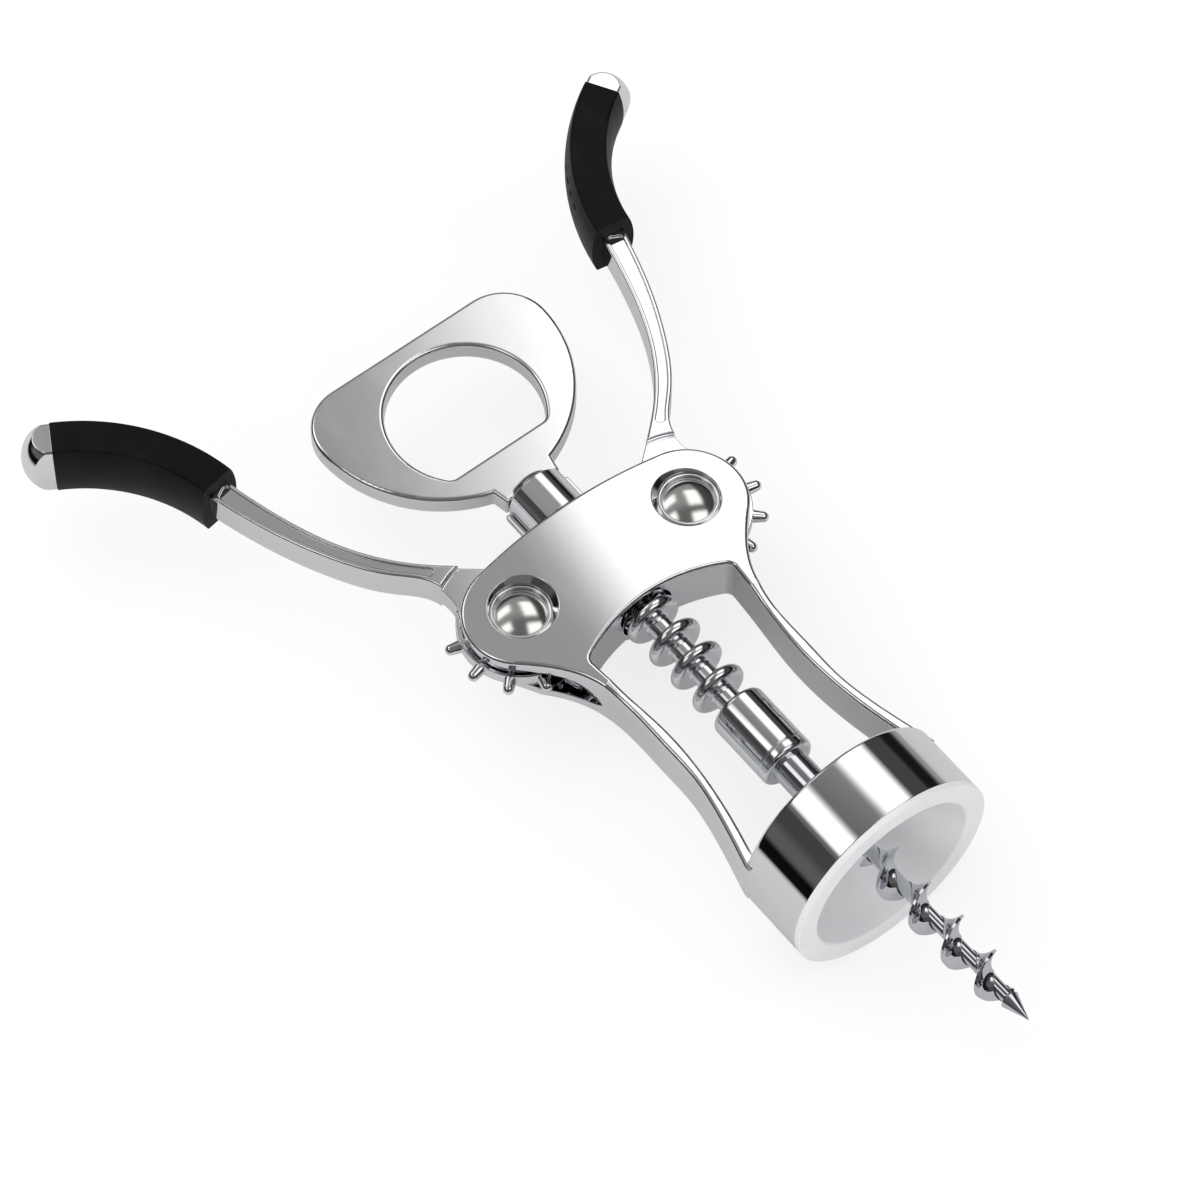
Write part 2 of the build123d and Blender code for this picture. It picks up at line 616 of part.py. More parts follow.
def worm_thread():
    """The right-handed thread, a ridge with hollow flanks swept round the core."""
    path = Helix(
        WORM_PITCH,
        WORM_HELIX_TOP - WORM_HELIX_BOTTOM,
        WORM_CORE_RADIUS,
        center=(0, WORM_HELIX_BOTTOM, 0),
        direction=(0, 1, 0),
    )
    start = path @ 0
    section_plane = Plane(origin=start, z_dir=path % 0, x_dir=(start.X, 0, start.Z))
    outer = WORM_RADIUS - WORM_CORE_RADIUS
    inner = -WORM_ROOT_OVERLAP
    middle = (inner + outer) / 2
    root = WORM_ROOT_WIDTH / 2
    waist = WORM_FLANK_WIDTH / 2
    crest = WORM_CREST / 2
    section = make_face([
        Line((inner, -root), (inner, root)),
        ThreePointArc((inner, root), (middle, waist), (outer, crest)),
        Line((outer, crest), (outer, -crest)),
        ThreePointArc((outer, -crest), (middle, -waist), (inner, -root)),
    ])
    thread = sweep(section_plane * section, path, is_frenet=True)
    return Rot(0, WORM_START_ANGLE, 0) * thread


def worm():
    """The rod, its rounded shoulder, the core, the thread and the spear point."""
    rod_top = COLLAR_BOTTOM + SOCKET_DEPTH - SEAT_GAP
    shoulder = ROD_BOTTOM - ROD_TAPER
    spear_top = WORM_TIP + WORM_SPEAR_LENGTH
    stem = spin([
        Line((0, rod_top), (ROD_RADIUS, rod_top)),
        Line((ROD_RADIUS, rod_top), (ROD_RADIUS, ROD_BOTTOM)),
        TangentArc((ROD_RADIUS, ROD_BOTTOM), (WORM_CORE_RADIUS, shoulder), tangent=(0, -1)),
        Line((WORM_CORE_RADIUS, shoulder), (WORM_CORE_RADIUS, spear_top)),
        Line((WORM_CORE_RADIUS, spear_top), (WORM_SPEAR_RADIUS, spear_top - WORM_BARB)),
        Line((WORM_SPEAR_RADIUS, spear_top - WORM_BARB), (0, WORM_TIP)),
        Line((0, WORM_TIP), (0, rod_top)),
    ])
    thread = worm_thread() & worm_envelope()
    return stem + thread - worm_pin_hole()


# ================================================================ opener handle
def flank_y(x):
    """Where the plate's lower flank, an arc tangent to its corner, crosses a given x."""
    centre_x = PLATE_HALF_WIDTH - PLATE_FLANK_RADIUS
    return PLATE_TOP - PLATE_CORNER_RADIUS - math.sqrt(PLATE_FLANK_RADIUS**2 - (x - centre_x) ** 2)


def plate_outline():
    """The opener plate's front view, from its flat top to where it meets the boss."""
    centre_y = PLATE_TOP - PLATE_CORNER_RADIUS
    flat_end = PLATE_HALF_WIDTH - PLATE_CORNER_RADIUS
    shoulder = (flat_end, PLATE_TOP)
    side = (PLATE_HALF_WIDTH, centre_y)
    reach = PLATE_CORNER_RADIUS * math.sqrt(0.5)
    neck = (NECK_HALF_WIDTH, flank_y(NECK_HALF_WIDTH))
    middle_x = (PLATE_HALF_WIDTH + NECK_HALF_WIDTH) / 2
    right = [
        ThreePointArc(shoulder, (flat_end + reach, centre_y + reach), side),
        ThreePointArc(side, (middle_x, flank_y(middle_x)), neck),
    ]
    top = Line((-shoulder[0], shoulder[1]), shoulder)
    foot = (NECK_FOOT_HALF_WIDTH, NECK_FOOT_Y)
    right += [Line(neck, foot)]
    base = Line(foot, (-foot[0], foot[1]))
    return make_face([top] + right + [base] + mirrored(right))


def plate_hole():
    """The D-shaped opening: a circle cut off by a flat towards the worm."""
    circle = Pos(0, PLATE_TOP - HOLE_CENTRE_DROP) * Circle(HOLE_RADIUS)
    flat_y = PLATE_TOP - HOLE_FLAT_DROP
    keep = Pos(0, flat_y + HOLE_RADIUS * 2) * Rectangle(HOLE_RADIUS * 4, HOLE_RADIUS * 4)
    face = (circle & keep).face()
    return fillet(face.vertices(), HOLE_CORNER)


def hole_rims(plate):
    """The edges round the opening, on the plate's front and rear."""
    rims = []
    for face in plate.faces().filter_by(Axis.Z):
        rims += face.inner_wires()[0].edges()
    return rims


def opener_handle():
    """The round-edged plate with the bottle opener's hole, and the boss that sleeves the spindle."""
    plate = slab(plate_outline(), -PLATE_HALF_THICKNESS, PLATE_HALF_THICKNESS)
    level = plate.faces().filter_by(Axis.Z).edges()
    plate = fillet(level, PLATE_EDGE_ROUND)
    opening = slab(plate_hole(), -2 * PLATE_HALF_THICKNESS, 2 * PLATE_HALF_THICKNESS)
    plate -= opening
    plate = fillet(hole_rims(plate), HOLE_EDGE_ROUND)
    boss = along_y(BOSS_RADIUS, BOSS_BOTTOM, NECK_FOOT_Y + BOSS_ROUND)
    boss = fillet(boss.edges().filter_by(GeomType.CIRCLE).sort_by(Axis.Y)[-1], BOSS_ROUND)
    body = plate + boss
    shank_top = BOSS_BOTTOM + SHANK_IN_BOSS + SEAT_GAP
    body -= along_y(SHANK_RADIUS + FIT_CLEARANCE, BOSS_BOTTOM - CUT_OVERRUN, shank_top)
    return body - handle_pin_hole()


def ferrule():
    """The sleeve that slides with the spindle and stops it on the head."""
    low = FERRULE_SEAT + SEAT_GAP
    sleeve = along_y(FERRULE_RADIUS, low, FERRULE_TOP)
    sleeve = chamfer(sleeve.edges().filter_by(GeomType.CIRCLE), FERRULE_EDGE)
    bore = BOSS_RADIUS + RUN_CLEARANCE
    return sleeve - along_y(bore, low - CUT_OVERRUN, FERRULE_TOP + CUT_OVERRUN)


# ================================================================ levers
def place_lever(shape):
    """Turns what is drawn along +X, with its outer side at -Y, into the right lever's rest place."""
    return Pos(PIVOT_X, PIVOT_Y) * Rot(0, 0, 90 - LEVER_REST_ANGLE) * shape


def tooth_angle(index):
    """A gear tooth's direction from +X on the right lever at rest, in degrees."""
    return MESH_TOOTH_ANGLE + TOOTH_SPACING * (index - 1)


def gear_tooth():
    """One peg-shaped tooth with a domed end, which points along +X from a hub centred on the origin."""
    foot = GEAR_ROOT_RADIUS - TOOTH_ROOT_HALF
    dome = GEAR_TIP_RADIUS - TOOTH_TIP_HALF
    lean = TOOTH_TIP_HALF * math.sqrt(0.5)
    half = make_face([
        Line((foot, 0), (foot, TOOTH_ROOT_HALF)),
        Line((foot, TOOTH_ROOT_HALF), (dome, TOOTH_TIP_HALF)),
        ThreePointArc((dome, TOOTH_TIP_HALF), (dome + lean, lean), (GEAR_TIP_RADIUS, 0)),
        Line((GEAR_TIP_RADIUS, 0), (foot, 0)),
    ])
    return revolve(half, Axis.X)


def gear():
    """The gear's thin web with its ring of teeth, in the lever's own directions."""
    body = slab(Circle(GEAR_ROOT_RADIUS), -GEAR_HALF, GEAR_HALF)
    for index in range(TOOTH_COUNT):
        turn = tooth_angle(index) - (90 - LEVER_REST_ANGLE)
        body += Rot(0, 0, turn) * gear_tooth()
    return body


def lever_edge(points, shift):
    """A smooth line along one side of the lever, through points given as (along, outward)."""
    return Spline([(along, -outward - shift) for along, outward in points])


def arm_face(inset):
    """The lever's front view from inside its hub to its shoulder at the grip, with its sides drawn in."""
    inner = lever_edge(LEVER_INNER, inset)
    outer = lever_edge(LEVER_OUTER, -inset)
    return make_face([inner, outer, Line(inner @ 0, outer @ 0), Line(inner @ 1, outer @ 1)])


def panel_face():
    """The outline of the arm's sunken panel, with rounded ends."""
    middle = (LEVER_PANEL_START + LEVER_PANEL_END) / 2
    window = Pos(middle, 0) * Rectangle(LEVER_PANEL_END - LEVER_PANEL_START, 4 * LEVER_ARM_START)
    face = arm_face(LEVER_RIM) & window
    return fillet(face.vertices(), LEVER_PANEL_ROUND)


def grip_path():
    """The arc that the tang, the grip and the end cap follow."""
    return ThreePointArc(*[(along, -outward) for along, outward in (GRIP_START, GRIP_MIDDLE, GRIP_END)])


def across(path, position):
    """The plane square to the path, with its x along the tool's Z and its y across the lever."""
    return Plane(origin=path @ position, x_dir=(0, 0, 1), z_dir=path % position)


def tang(clearance):
    """The bar inside the grip, grown all round by a clearance."""
    path = grip_path()
    section = Rectangle(2 * (TANG_HALF_DEPTH + clearance), TANG_WIDTH + 2 * clearance)
    return sweep(across(path, 0) * section, path)


def stud_hole(depth_from_end, reach, clearance):
    """A cylinder on the grip's end axis, from inside the tang out to a reach past its end."""
    path = grip_path()
    disc = across(path, 1).offset(-depth_from_end) * Circle(STUD_RADIUS + clearance)
    return extrude(disc, depth_from_end + reach)


def lever_arm():
    """The thick arm with its sunken front and rear panels between rims."""
    root = Circle(LEVER_ARM_START)
    arm = slab(arm_face(0) - root, -LEVER_HALF, LEVER_HALF)
    arm = fillet(arm.faces().filter_by(Axis.Z).edges(), LEVER_EDGE_ROUND)
    arm -= slab(panel_face(), LEVER_HALF - LEVER_PANEL_DEPTH, 2 * LEVER_HALF)
    return arm - slab(panel_face(), -2 * LEVER_HALF, LEVER_PANEL_DEPTH - LEVER_HALF)


def lever():
    """The right lever: geared hub, arm and tang in one casting."""
    root = arm_face(0) & Circle(LEVER_ARM_START + LEVER_RIM)
    hub = gear() + slab(Circle(HUB_BOSS_RADIUS) + root, -HUB_HALF, HUB_HALF)
    hub -= slab(Circle(PIN_RADIUS + HUB_BORE_CLEARANCE), -LEVER_HALF, LEVER_HALF)
    body = hub + (lever_arm() - grip_block()) + tang(0)
    body -= stud_hole(STUD_LENGTH - STUD_IN_CAP, CUT_OVERRUN, FIT_CLEARANCE)
    return place_lever(body)


def grip_section(shrink):
    """The grip's cross-section: flat front and rear, full sides."""
    depth = GRIP_HALF_DEPTH - shrink
    face_half = GRIP_FACE_WIDTH / 2 - shrink
    bulge = GRIP_BULGE_WIDTH / 2 - shrink
    face = make_face([
        Line((depth, -face_half), (depth, face_half)),
        ThreePointArc((depth, face_half), (0, bulge), (-depth, face_half)),
        Line((-depth, face_half), (-depth, -face_half)),
        ThreePointArc((-depth, -face_half), (0, -bulge), (depth, -face_half)),
    ])
    return fillet(face.vertices(), GRIP_EDGE_ROUND)


def grip_block():
    """The grip's outer shape, solid."""
    path = grip_path()
    return sweep(across(path, 0) * grip_section(0), path)


def dimple():
    """The cutter for one dash-shaped dimple, placed on the inner side of the grip's cross-section."""
    sag = (GRIP_BULGE_WIDTH - GRIP_FACE_WIDTH) / 2
    side_radius = (GRIP_HALF_DEPTH**2 + sag**2) / (2 * sag)
    surface = GRIP_BULGE_WIDTH / 2 - side_radius + math.sqrt(side_radius**2 - DIMPLE_OFFSET**2)
    cutter = scale(Sphere(1), by=(DIMPLE_HALF_WIDTH, DIMPLE_DEPTH, DIMPLE_HALF_LENGTH))
    return Pos(DIMPLE_OFFSET, -surface) * cutter


def grip():
    """The right grip: a soft sleeve over the tang, with a row of dimples on its inner side."""
    path = grip_path()
    sleeve = grip_block() - tang(FIT_CLEARANCE)
    for index in range(DIMPLE_COUNT):
        step = (index - (DIMPLE_COUNT - 1) / 2) * DIMPLE_SPACING
        sleeve -= across(path, 0.5 + step / path.length) * dimple()
    return place_lever(sleeve)


def end_cap():
    """The right grip's metal cap: its sides run on from the grip's and close in a dome."""
    end = across(grip_path(), 1)
    block = extrude(end * grip_section(CAP_SHRINK), CAP_LENGTH)
    depth = GRIP_HALF_DEPTH + CAP_DOME_SPREAD
    width = GRIP_BULGE_WIDTH / 2 + CAP_DOME_SPREAD
    cap = block & end * scale(Sphere(1), by=(depth, width, CAP_LENGTH))
    cap -= stud_hole(STUD_RADIUS, STUD_IN_CAP + SEAT_GAP, FIT_CLEARANCE)
    return place_lever(cap)


def cap_stud():
    """The threaded stud that draws the right end cap on to the tang."""
    return place_lever(stud_hole(STUD_LENGTH - STUD_IN_CAP - SEAT_GAP, STUD_IN_CAP, 0))


# ================================================================ nodes
PAIRS = {
    "lever": lever,
    "grip": grip,
    "end_cap": end_cap,
    "cap_stud": cap_stud,
    "pivot_pin": pivot_pin,
    "pin_cup": pin_cup,
    "rear_pin_cap": rear_cap,
    "lever_washers": thrust_washers,
}

SINGLES = {
    "frame": frame,
    "bell_liner": bell_liner,
    "rack_spindle": rack_spindle,
    "worm": worm,
    "worm_pin": worm_pin,
    "opener_handle": opener_handle,
    "handle_pin": handle_pin,
    "ferrule": ferrule,
}


def write_node(name, shape):
    """Writes one node's STEP file."""
    export_step(shape, os.path.join("parts", name + ".step"))
    print(name)


def main():
    """Builds every node; each pair is one shape and its mirror image."""
    os.makedirs("parts", exist_ok=True)
    for name, build in SINGLES.items():
        write_node(name, build())
    for name, build in PAIRS.items():
        right = build()
        write_node("right_" + name, right)
        write_node("left_" + name, mirror(right, Plane.YZ))
    print("lever swing", round(LEVER_SWING, 3), "degrees over", LIFT_TRAVEL, "mm of lift")


main()
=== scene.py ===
"""Wing corkscrew: a finish for each carried-over solid, a plain studio and the camera.

All lengths are metres in the row's own frame: +X is the tool's right, +Y runs along the worm towards the
opener handle and +Z is out of the front. Names that end in _mm or _um are millimetres or micrometres, and
every pattern is drawn in millimetres.
"""

import logging
import math
from dataclasses import dataclass, field
from enum import Enum
from typing import Sequence, Union

import bpy
from mathutils import Matrix, Vector

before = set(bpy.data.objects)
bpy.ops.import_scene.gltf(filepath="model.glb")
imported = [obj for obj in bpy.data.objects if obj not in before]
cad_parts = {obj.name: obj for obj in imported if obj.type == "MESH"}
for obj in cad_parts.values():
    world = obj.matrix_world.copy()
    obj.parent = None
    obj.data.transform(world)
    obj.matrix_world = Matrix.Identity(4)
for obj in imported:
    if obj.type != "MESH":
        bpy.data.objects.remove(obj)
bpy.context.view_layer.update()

LOG = logging.getLogger("corkscrew")
MM = 0.001
MICROMETRE = 1e-6

Triple = tuple[float, float, float]
Colour = Triple
Span = tuple[float, float]

BLACK: Colour = (0.0, 0.0, 0.0)
WHITE: Colour = (1.0, 1.0, 1.0)
SIDES = ("left", "right")
EDGE_SAMPLES = 8

# Where a Mix node keeps its factor and its colours.
MIX_FACTOR, MIX_FIRST, MIX_SECOND, MIX_RESULT = 0, 6, 7, 2


# ---------------------------------------------------------------- shader maths
class Signal:
    """A socket that carries a number, usable in Python arithmetic."""

    def __init__(self, graph: "Graph", socket: bpy.types.NodeSocket) -> None:
        """Keeps the graph that the socket belongs to."""
        self.graph = graph
        self.socket = socket

    def __add__(self, other: "Value") -> "Signal":
        """Sum."""
        return self.graph.maths("ADD", self, other)

    def __radd__(self, other: "Value") -> "Signal":
        """Sum with a number on the left."""
        return self.graph.maths("ADD", other, self)

    def __sub__(self, other: "Value") -> "Signal":
        """Difference."""
        return self.graph.maths("SUBTRACT", self, other)

    def __rsub__(self, other: "Value") -> "Signal":
        """Difference with a number on the left."""
        return self.graph.maths("SUBTRACT", other, self)

    def __mul__(self, other: "Value") -> "Signal":
        """Product."""
        return self.graph.maths("MULTIPLY", self, other)

    def __rmul__(self, other: "Value") -> "Signal":
        """Product with a number on the left."""
        return self.graph.maths("MULTIPLY", other, self)

    def __truediv__(self, other: "Value") -> "Signal":
        """Quotient."""
        return self.graph.maths("DIVIDE", self, other)


Value = Union[Signal, float]


def grey(level: float) -> Colour:
    """A grey of one level."""
    return (level, level, level)


class Graph:
    """A node tree that is written as Python expressions."""

    def __init__(self, tree: bpy.types.NodeTree) -> None:
        """Takes over the tree of a material or the world and empties it."""
        self.tree = tree
        tree.nodes.clear()

    def node(self, kind: str, settings: dict | None = None, sockets: dict | None = None) -> bpy.types.Node:
        """Adds one node.

        Args:
            kind: The node's type name without its ShaderNode prefix.
            settings: Properties set before the sockets.
            sockets: Values or links by input name or index.

        Returns:
            The new node.
        """
        node = self.tree.nodes.new("ShaderNode" + kind)
        for name, value in (settings or {}).items():
            setattr(node, name, value)
        for key, value in (sockets or {}).items():
            self.feed(node.inputs[key], value)
        return node

    def feed(self, target: bpy.types.NodeSocket, value: object) -> None:
        """Links a signal or socket into an input, or sets the input's own value.

        Args:
            target: The input.
            value: A signal, a socket, a number, a vector or a colour.
        """
        if isinstance(value, Signal):
            self.tree.links.new(value.socket, target)
        elif isinstance(value, bpy.types.NodeSocket):
            self.tree.links.new(value, target)
        elif target.type == "RGBA" and len(value) == 3:
            target.default_value = (*value, 1.0)
        else:
            target.default_value = value

    def signal(self, node: bpy.types.Node, output: Union[str, int] = 0) -> Signal:
        """One of a node's outputs as a signal."""
        return Signal(self, node.outputs[output])

    def maths(self, operation: str, first: Value, second: Value = 0.0) -> Signal:
        """A Math node on two values."""
        return self.signal(self.node("Math", {"operation": operation}, {0: first, 1: second}))

    def ramp_up(self, value: Value, low: float, high: float) -> Signal:
        """A smooth rise from 0 at low to 1 at high; it falls where high is the lower one."""
        sockets = {"Value": value, "From Min": low, "From Max": high}
        return self.signal(self.node("MapRange", {"interpolation_type": "SMOOTHSTEP"}, sockets))

    def window(self, value: Value, low: float, high: float, soft: float) -> Signal:
        """A window in a value.

        Args:
            value: What is looked at.
            low: Where the window opens.
            high: Where it closes.
            soft: Width of its soft edges.

        Returns:
            1 inside the window and 0 outside it.
        """
        rise = self.ramp_up(value, low - soft / 2, low + soft / 2)
        fall = self.ramp_up(value, high + soft / 2, high - soft / 2)
        return rise * fall

    def stretched(self, vector: object, stretch: Sequence[float]) -> bpy.types.NodeSocket:
        """A vector with each of its parts multiplied."""
        return self.node("VectorMath", {"operation": "MULTIPLY"}, {0: vector, 1: stretch}).outputs[0]

    def colour_mix(self, factor: Value, first: object, second: object) -> Signal:
        """A colour that goes from the first to the second as factor goes from 0 to 1."""
        sockets = {MIX_FACTOR: factor, MIX_FIRST: first, MIX_SECOND: second}
        return self.signal(self.node("Mix", {"data_type": "RGBA"}, sockets), MIX_RESULT)

    def place(self) -> bpy.types.NodeSocket:
        """The point's Object coordinates in millimetres."""
        source = self.node("TexCoord").outputs["Object"]
        return self.node("VectorMath", {"operation": "SCALE"}, {0: source, "Scale": 1 / MM}).outputs[0]

    def parts(self, vector: bpy.types.NodeSocket) -> tuple[Signal, Signal, Signal]:
        """A vector's x, y and z."""
        split = self.node("SeparateXYZ", None, {0: vector})
        return self.signal(split, 0), self.signal(split, 1), self.signal(split, 2)

    def bump(self, height: Value, distance: float, strength: float = 1.0, edge_mm: float = 0.0) -> object:
        """A bumped normal.

        Args:
            height: The relief, in units of distance.
            distance: The relief's unit.
            strength: How much of it shows.
            edge_mm: Radius that sharp edges are rounded to, or 0.

        Returns:
            The normal's socket.
        """
        sockets = {"Height": height, "Distance": distance, "Strength": strength}
        if edge_mm:
            rounded = self.node("Bevel", {"samples": EDGE_SAMPLES}, {"Radius": edge_mm * MM})
            sockets["Normal"] = rounded.outputs[0]
        return self.node("Bump", None, sockets).outputs[0]


def new_material(name: str) -> tuple[bpy.types.Material, Graph]:
    """Makes an empty material.

    Args:
        name: Its name.

    Returns:
        The material and its graph.
    """
    material = bpy.data.materials.new(name)
    material.use_nodes = True
    return material, Graph(material.node_tree)


def finish_with(graph: Graph, sockets: dict) -> None:
    """Adds a Principled shader with its sockets and makes it the surface."""
    shader = graph.node("BsdfPrincipled", None, sockets)
    graph.node("OutputMaterial", None, {"Surface": shader.outputs[0]})


@dataclass(frozen=True)
class Pattern:
    """A fractal noise from 0 to 1.

    Attributes:
        scale: How many of its cells lie in a millimetre.
        detail: Its octaves.
        roughness: The weight of each finer octave.
        stretch: How much denser it is along x, y and z.
    """

    scale: float
    detail: float = 2.0
    roughness: float = 0.5
    stretch: Triple = (1.0, 1.0, 1.0)

    def on(self, graph: Graph, vector: bpy.types.NodeSocket) -> Signal:
        """Draws the pattern.

        Args:
            graph: The graph that it is drawn in.
            vector: The point, in millimetres.

        Returns:
            The noise.
        """
        spot = vector if self.stretch == (1.0, 1.0, 1.0) else graph.stretched(vector, self.stretch)
        settings = {"Scale": self.scale, "Detail": self.detail, "Roughness": self.roughness}
        return graph.signal(graph.node("TexNoise", None, {"Vector": spot, **settings}))


# ---------------------------------------------------------------- finishes
class Polish(Enum):
    """How metal was worked before plating: the relief that this leaves, as patterns and their shares."""

    CAST = ((4.0, Pattern(0.11, 1.0, 0.4)), (0.12, Pattern(1.1, 2.0, 0.5)))
    TURNED = ((1.0, Pattern(1.0, 3.0, 0.6, (0.05, 3.4, 0.05))),)
    PRESSED = ((1.0, Pattern(1.0, 3.0, 0.55, (0.6, 0.12, 0.6))),)


@dataclass(frozen=True)
class SatinFront:
    """The duller crowned front of the head, without its edges, the arms and the bell.

    Attributes:
        crown_radius_mm: Radius of the crown across the head.
        crown_top_mm: Height of the crown's ridge.
        depth_mm: From where to where below the crown the satin rises from none to full.
        foot_mm: From where to where along the tool it rises.
    """

    crown_radius_mm: float = 220.0
    crown_top_mm: float = 6.1
    depth_mm: Span = (-0.4, -0.15)
    foot_mm: Span = (58.0, 61.0)

    def mask(self, graph: Graph, vector: bpy.types.NodeSocket) -> Signal:
        """Finds the satin face.

        Args:
            graph: The material's graph.
            vector: The point, in millimetres.

        Returns:
            1 on the face and 0 elsewhere.
        """
        x, y, z = graph.parts(vector)
        depth = z + x * x / (2 * self.crown_radius_mm) - self.crown_top_mm
        return graph.ramp_up(depth, *self.depth_mm) * graph.ramp_up(y, *self.foot_mm)


@dataclass(frozen=True)
class Plating:
    """Bright plated metal with the fine relief of how it was worked.

    Attributes:
        name: The material's name.
        tint: Reflectance of the plate.
        gloss_loss: Roughness of the cleanest areas.
        haze: Roughness added by the haziest smears.
        polish: How the piece was worked.
        ripple_um: Depth of the polishing ripple.
        satin_front: Roughness added on the flat front of the head.
        edge_mm: Radius to which polishing rounded the sharp edges.
        smears: Where the haze lies.
        smear_span: The pattern's levels at which the haze begins and is full.
        drift: Where the tint is a little darker or lighter.
        drift_span: The tint's darkest and lightest share.
    """

    name: str
    tint: Colour = (0.80, 0.81, 0.83)
    gloss_loss: float = 0.035
    haze: float = 0.03
    polish: Polish = Polish.CAST
    ripple_um: float = 1.2
    satin_front: float = 0.0
    edge_mm: float = 0.3
    smears: Pattern = Pattern(0.16, 4.0, 0.6, (1.0, 0.35, 1.0))
    smear_span: Span = (0.42, 0.78)
    drift: Pattern = Pattern(0.05)
    drift_span: Span = (0.965, 1.03)

    def build(self) -> bpy.types.Material:
        """Makes the material.

        Returns:
            The material.
        """
        material, graph = new_material(self.name)
        vector = graph.place()
        haze = graph.ramp_up(self.smears.on(graph, vector), *self.smear_span)
        roughness = self.gloss_loss + haze * self.haze
        if self.satin_front:
            roughness = roughness + SatinFront().mask(graph, vector) * self.satin_front
        darker, lighter = (tuple(min(1.0, part * share) for part in self.tint) for share in self.drift_span)
        finish_with(graph, {
            "Base Color": graph.colour_mix(self.drift.on(graph, vector), darker, lighter),
            "Metallic": 1.0,
            "Roughness": roughness,
            "Normal": self.relief(graph, vector),
        })
        return material

    def relief(self, graph: Graph, vector: bpy.types.NodeSocket) -> bpy.types.NodeSocket:
        """Draws the fine relief that polishing left.

        Args:
            graph: The material's graph.
            vector: The point, in millimetres.

        Returns:
            The normal's socket.
        """
        marks: Value = 0.0
        for share, pattern in self.polish.value:
            marks = marks + pattern.on(graph, vector) * share
        return graph.bump(marks, self.ripple_um * MICROMETRE, edge_mm=self.edge_mm)


@dataclass(frozen=True)
class SoftTouch:
    """Black soft-touch moulding with a fine even grain.

    Attributes:
        name: The material's name.
        base: Colour of the fresh surface.
        rubbed: Colour where hands rubbed it.
        gloss_loss: Roughness of the smooth surface.
        sheen_level: Strength of its reflections.
        grain: The moulded grain.
        grain_um: The grain's depth.
        grain_strength: How much of the grain shows.
        grain_loss: Roughness that the grain adds.
        grain_share: The grain's share in the colour; wear has the rest.
        wear: Where hands rubbed it.
        wear_span: The pattern's levels at which wear begins and is full.
        wear_shine: Roughness that wear takes away.
    """

    name: str
    base: Colour = (0.0026, 0.0028, 0.0032)
    rubbed: Colour = (0.0060, 0.0064, 0.0072)
    gloss_loss: float = 0.36
    sheen_level: float = 0.11
    grain: Pattern = Pattern(3.125, 2.0, 0.6)
    grain_um: float = 22.0
    grain_strength: float = 0.8
    grain_loss: float = 0.16
    grain_share: float = 0.3
    wear: Pattern = Pattern(0.14, 3.0, 0.6)
    wear_span: Span = (0.4, 0.75)
    wear_shine: float = 0.05

    def build(self) -> bpy.types.Material:
        """Makes the material.

        Returns:
            The material.
        """
        material, graph = new_material(self.name)
        vector = graph.place()
        grain = self.grain.on(graph, vector)
        wear = graph.ramp_up(self.wear.on(graph, vector), *self.wear_span)
        shade = wear * (1 - self.grain_share) + grain * self.grain_share
        finish_with(graph, {
            "Base Color": graph.colour_mix(shade, self.base, self.rubbed),
            "Roughness": self.gloss_loss + grain * self.grain_loss - wear * self.wear_shine,
            "Specular IOR Level": self.sheen_level,
            "Normal": graph.bump(grain, self.grain_um * MICROMETRE, self.grain_strength),
        })
        return material


@dataclass(frozen=True)
class Moulding:
    """Hard moulded plastic: satin, with faint flow shading.

    Attributes:
        name: The material's name.
        base: Colour of most of it.
        shade: Colour where the melt flowed last.
        gloss_loss: Roughness of the smooth surface.
        flow: The flow shading.
        flow_span: The pattern's levels at which the shade begins and is full.
        texture: The mould's fine texture.
        texture_um: The texture's depth.
        texture_strength: How much of the texture shows.
        texture_loss: Roughness that the texture adds.
    """

    name: str
    base: Colour = (0.69, 0.695, 0.705)
    shade: Colour = (0.65, 0.655, 0.67)
    gloss_loss: float = 0.34
    flow: Pattern = Pattern(0.12, 3.0, 0.5, (0.5, 1.4, 0.5))
    flow_span: Span = (0.3, 0.8)
    texture: Pattern = Pattern(2.6, 2.0, 0.6)
    texture_um: float = 8.0
    texture_strength: float = 0.6
    texture_loss: float = 0.12

    def build(self) -> bpy.types.Material:
        """Makes the material.

        Returns:
            The material.
        """
        material, graph = new_material(self.name)
        vector = graph.place()
        flow = graph.ramp_up(self.flow.on(graph, vector), *self.flow_span)
        texture = self.texture.on(graph, vector)
        finish_with(graph, {
            "Base Color": graph.colour_mix(flow, self.base, self.shade),
            "Roughness": self.gloss_loss + texture * self.texture_loss,
            "Normal": graph.bump(texture, self.texture_um * MICROMETRE, self.texture_strength),
        })
        return material


